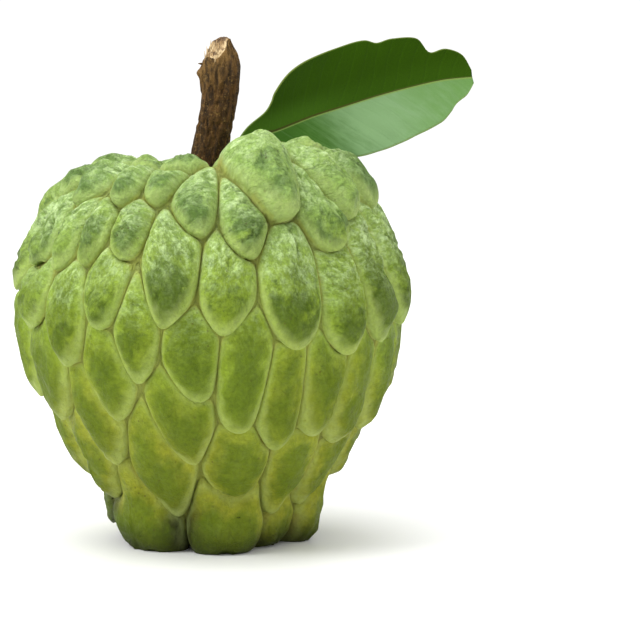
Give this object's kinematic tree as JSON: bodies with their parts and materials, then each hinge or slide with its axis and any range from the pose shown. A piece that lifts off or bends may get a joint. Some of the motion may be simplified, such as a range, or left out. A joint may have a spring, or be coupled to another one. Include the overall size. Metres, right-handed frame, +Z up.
{
  "type": "custard apple",
  "caption": "Ripe custard apple with its woody stem and one leaf; knobbly green fruit that rests on the flat spot at its blossom end.",
  "frame": {"origin": "middle of the flat spot that the fruit rests on, under the stem's base", "axes": "+Z up along the fruit's core, from the blossom end to the stem; the leaf reaches towards +X and a little towards +Y; -Y is the front"},
  "size_m": [0.1029, 0.088, 0.1106],
  "materials": {
    "skin": "matt green rind with a pale waxy bloom",
    "bark": "rough brown bark",
    "leaf": "satin green leaf, glossier above"
  },
  "bodies": {
    "root": {"fruit": "skin", "stem": "bark", "leaf": "leaf"}
  },
  "joints": []
}
